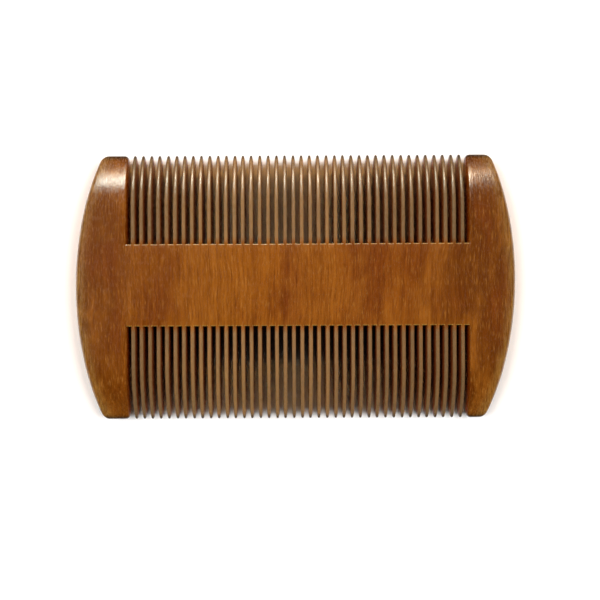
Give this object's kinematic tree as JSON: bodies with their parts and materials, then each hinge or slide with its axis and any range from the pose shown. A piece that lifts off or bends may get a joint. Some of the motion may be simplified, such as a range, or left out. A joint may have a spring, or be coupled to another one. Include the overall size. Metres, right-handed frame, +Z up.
{
  "type": "beard comb",
  "caption": "Double-sided wooden pocket comb: a solid spine between fine tooth rows, with a wide bowed guard at each end.",
  "frame": {"origin": "on the flat underside of the spine, at the middle of the comb's length and width", "axes": "+X along the board towards the right guard, +Y along the teeth towards the upper row, +Z up through the thickness"},
  "size_m": [0.1, 0.0604, 0.008],
  "materials": {
    "wood": "hand-sanded and oiled, satin"
  },
  "bodies": {
    "root": {"spine": "wood", "left_guard": "wood", "right_guard": "wood", "upper_teeth": "wood", "lower_teeth": "wood"}
  },
  "joints": []
}
